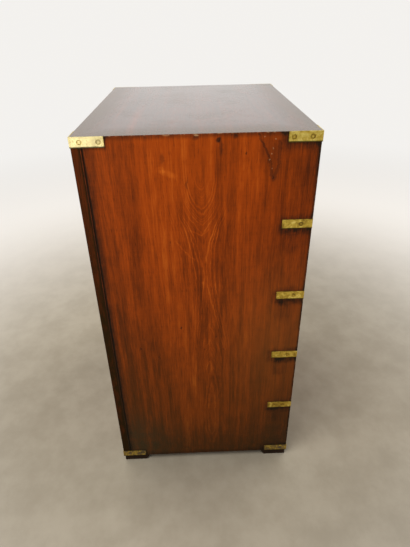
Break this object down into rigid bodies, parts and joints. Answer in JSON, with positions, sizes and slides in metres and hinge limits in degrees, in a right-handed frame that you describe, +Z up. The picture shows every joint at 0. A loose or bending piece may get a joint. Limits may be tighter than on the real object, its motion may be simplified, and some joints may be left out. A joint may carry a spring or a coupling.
{
  "type": "chest of drawers",
  "caption": "Tall narrow chest of drawers in the campaign style, with brass angle straps let into its corners, recessed swing handles, till locks and low block feet.",
  "frame": {"origin": "on the floor, below the middle of the case", "axes": "+Z up, +Y to the back, the drawers open towards -Y, +X to the right of someone facing them"},
  "size_m": [0.5964, 0.4624, 0.91],
  "materials": {
    "mahogany": "french polished solid mahogany, worn and darkened at the edges",
    "lining_wood": "plain unpolished cedar and pine",
    "brass": "aged satin brass"
  },
  "bodies": {
    "case": {"left_side": "mahogany", "right_side": "mahogany", "top_board": "mahogany", "bottom_board": "mahogany", "divider_rails": "mahogany", "back_stiles": "mahogany", "back_rails": "mahogany", "back_panels": "mahogany", "feet": "mahogany", "drawer_runners": "lining_wood", "dust_boards": "lining_wood", "drawer_stops": "lining_wood", "corner_straps": "brass", "divider_straps": "brass"},
    "drawer_1_box": {"drawer_1_front": "mahogany", "drawer_1_sides": "lining_wood", "drawer_1_back": "lining_wood", "drawer_1_bottom": "lining_wood", "drawer_1_handle_plates": "brass", "drawer_1_lock": "brass"},
    "drawer_1_left_handle": {"drawer_1_bail_left": "brass"},
    "drawer_1_right_handle": {"drawer_1_bail_right": "brass"},
    "drawer_1_bolt": {"drawer_1_lock_bolt": "brass"},
    "drawer_2_box": {"drawer_2_front": "mahogany", "drawer_2_sides": "lining_wood", "drawer_2_back": "lining_wood", "drawer_2_bottom": "lining_wood", "drawer_2_handle_plates": "brass", "drawer_2_lock": "brass"},
    "drawer_2_left_handle": {"drawer_2_bail_left": "brass"},
    "drawer_2_right_handle": {"drawer_2_bail_right": "brass"},
    "drawer_2_bolt": {"drawer_2_lock_bolt": "brass"},
    "drawer_3_box": {"drawer_3_front": "mahogany", "drawer_3_sides": "lining_wood", "drawer_3_back": "lining_wood", "drawer_3_bottom": "lining_wood", "drawer_3_handle_plates": "brass", "drawer_3_lock": "brass"},
    "drawer_3_left_handle": {"drawer_3_bail_left": "brass"},
    "drawer_3_right_handle": {"drawer_3_bail_right": "brass"},
    "drawer_3_bolt": {"drawer_3_lock_bolt": "brass"},
    "drawer_4_box": {"drawer_4_front": "mahogany", "drawer_4_sides": "lining_wood", "drawer_4_back": "lining_wood", "drawer_4_bottom": "lining_wood", "drawer_4_handle_plates": "brass", "drawer_4_lock": "brass"},
    "drawer_4_left_handle": {"drawer_4_bail_left": "brass"},
    "drawer_4_right_handle": {"drawer_4_bail_right": "brass"},
    "drawer_4_bolt": {"drawer_4_lock_bolt": "brass"},
    "drawer_5_box": {"drawer_5_front": "mahogany", "drawer_5_sides": "lining_wood", "drawer_5_back": "lining_wood", "drawer_5_bottom": "lining_wood", "drawer_5_handle_plates": "brass", "drawer_5_lock": "brass"},
    "drawer_5_left_handle": {"drawer_5_bail_left": "brass"},
    "drawer_5_right_handle": {"drawer_5_bail_right": "brass"},
    "drawer_5_bolt": {"drawer_5_lock_bolt": "brass"}
  },
  "joints": [
    {"name": "drawer_1_slide", "type": "slide", "parent": "case", "child": "drawer_1_box", "axis": [0, -1, 0], "range_m": [0, 0.34]},
    {"name": "drawer_1_left_bail_swing", "type": "hinge", "parent": "drawer_1_box", "child": "drawer_1_left_handle", "pos_m": [-0.15, -0.227, 0.8244], "axis": [-1, 0, 0], "range_deg": [0, 90]},
    {"name": "drawer_1_right_bail_swing", "type": "hinge", "parent": "drawer_1_box", "child": "drawer_1_right_handle", "pos_m": [0.15, -0.227, 0.8244], "axis": [-1, 0, 0], "range_deg": [0, 90]},
    {"name": "drawer_1_bolt_throw", "type": "slide", "parent": "drawer_1_box", "child": "drawer_1_bolt", "axis": [0, 0, 1], "range_m": [0, 0.008]},
    {"name": "drawer_2_slide", "type": "slide", "parent": "case", "child": "drawer_2_box", "axis": [0, -1, 0], "range_m": [0, 0.34]},
    {"name": "drawer_2_left_bail_swing", "type": "hinge", "parent": "drawer_2_box", "child": "drawer_2_left_handle", "pos_m": [-0.15, -0.227, 0.6504], "axis": [-1, 0, 0], "range_deg": [0, 90]},
    {"name": "drawer_2_right_bail_swing", "type": "hinge", "parent": "drawer_2_box", "child": "drawer_2_right_handle", "pos_m": [0.15, -0.227, 0.6504], "axis": [-1, 0, 0], "range_deg": [0, 90]},
    {"name": "drawer_2_bolt_throw", "type": "slide", "parent": "drawer_2_box", "child": "drawer_2_bolt", "axis": [0, 0, 1], "range_m": [0, 0.008]},
    {"name": "drawer_3_slide", "type": "slide", "parent": "case", "child": "drawer_3_box", "axis": [0, -1, 0], "range_m": [0, 0.34]},
    {"name": "drawer_3_left_bail_swing", "type": "hinge", "parent": "drawer_3_box", "child": "drawer_3_left_handle", "pos_m": [-0.15, -0.227, 0.4764], "axis": [-1, 0, 0], "range_deg": [0, 90]},
    {"name": "drawer_3_right_bail_swing", "type": "hinge", "parent": "drawer_3_box", "child": "drawer_3_right_handle", "pos_m": [0.15, -0.227, 0.4764], "axis": [-1, 0, 0], "range_deg": [0, 90]},
    {"name": "drawer_3_bolt_throw", "type": "slide", "parent": "drawer_3_box", "child": "drawer_3_bolt", "axis": [0, 0, 1], "range_m": [0, 0.008]},
    {"name": "drawer_4_slide", "type": "slide", "parent": "case", "child": "drawer_4_box", "axis": [0, -1, 0], "range_m": [0, 0.34]},
    {"name": "drawer_4_left_bail_swing", "type": "hinge", "parent": "drawer_4_box", "child": "drawer_4_left_handle", "pos_m": [-0.15, -0.227, 0.3024], "axis": [-1, 0, 0], "range_deg": [0, 90]},
    {"name": "drawer_4_right_bail_swing", "type": "hinge", "parent": "drawer_4_box", "child": "drawer_4_right_handle", "pos_m": [0.15, -0.227, 0.3024], "axis": [-1, 0, 0], "range_deg": [0, 90]},
    {"name": "drawer_4_bolt_throw", "type": "slide", "parent": "drawer_4_box", "child": "drawer_4_bolt", "axis": [0, 0, 1], "range_m": [0, 0.008]},
    {"name": "drawer_5_slide", "type": "slide", "parent": "case", "child": "drawer_5_box", "axis": [0, -1, 0], "range_m": [0, 0.34]},
    {"name": "drawer_5_left_bail_swing", "type": "hinge", "parent": "drawer_5_box", "child": "drawer_5_left_handle", "pos_m": [-0.15, -0.227, 0.1284], "axis": [-1, 0, 0], "range_deg": [0, 90]},
    {"name": "drawer_5_right_bail_swing", "type": "hinge", "parent": "drawer_5_box", "child": "drawer_5_right_handle", "pos_m": [0.15, -0.227, 0.1284], "axis": [-1, 0, 0], "range_deg": [0, 90]},
    {"name": "drawer_5_bolt_throw", "type": "slide", "parent": "drawer_5_box", "child": "drawer_5_bolt", "axis": [0, 0, 1], "range_m": [0, 0.008]}
  ]
}
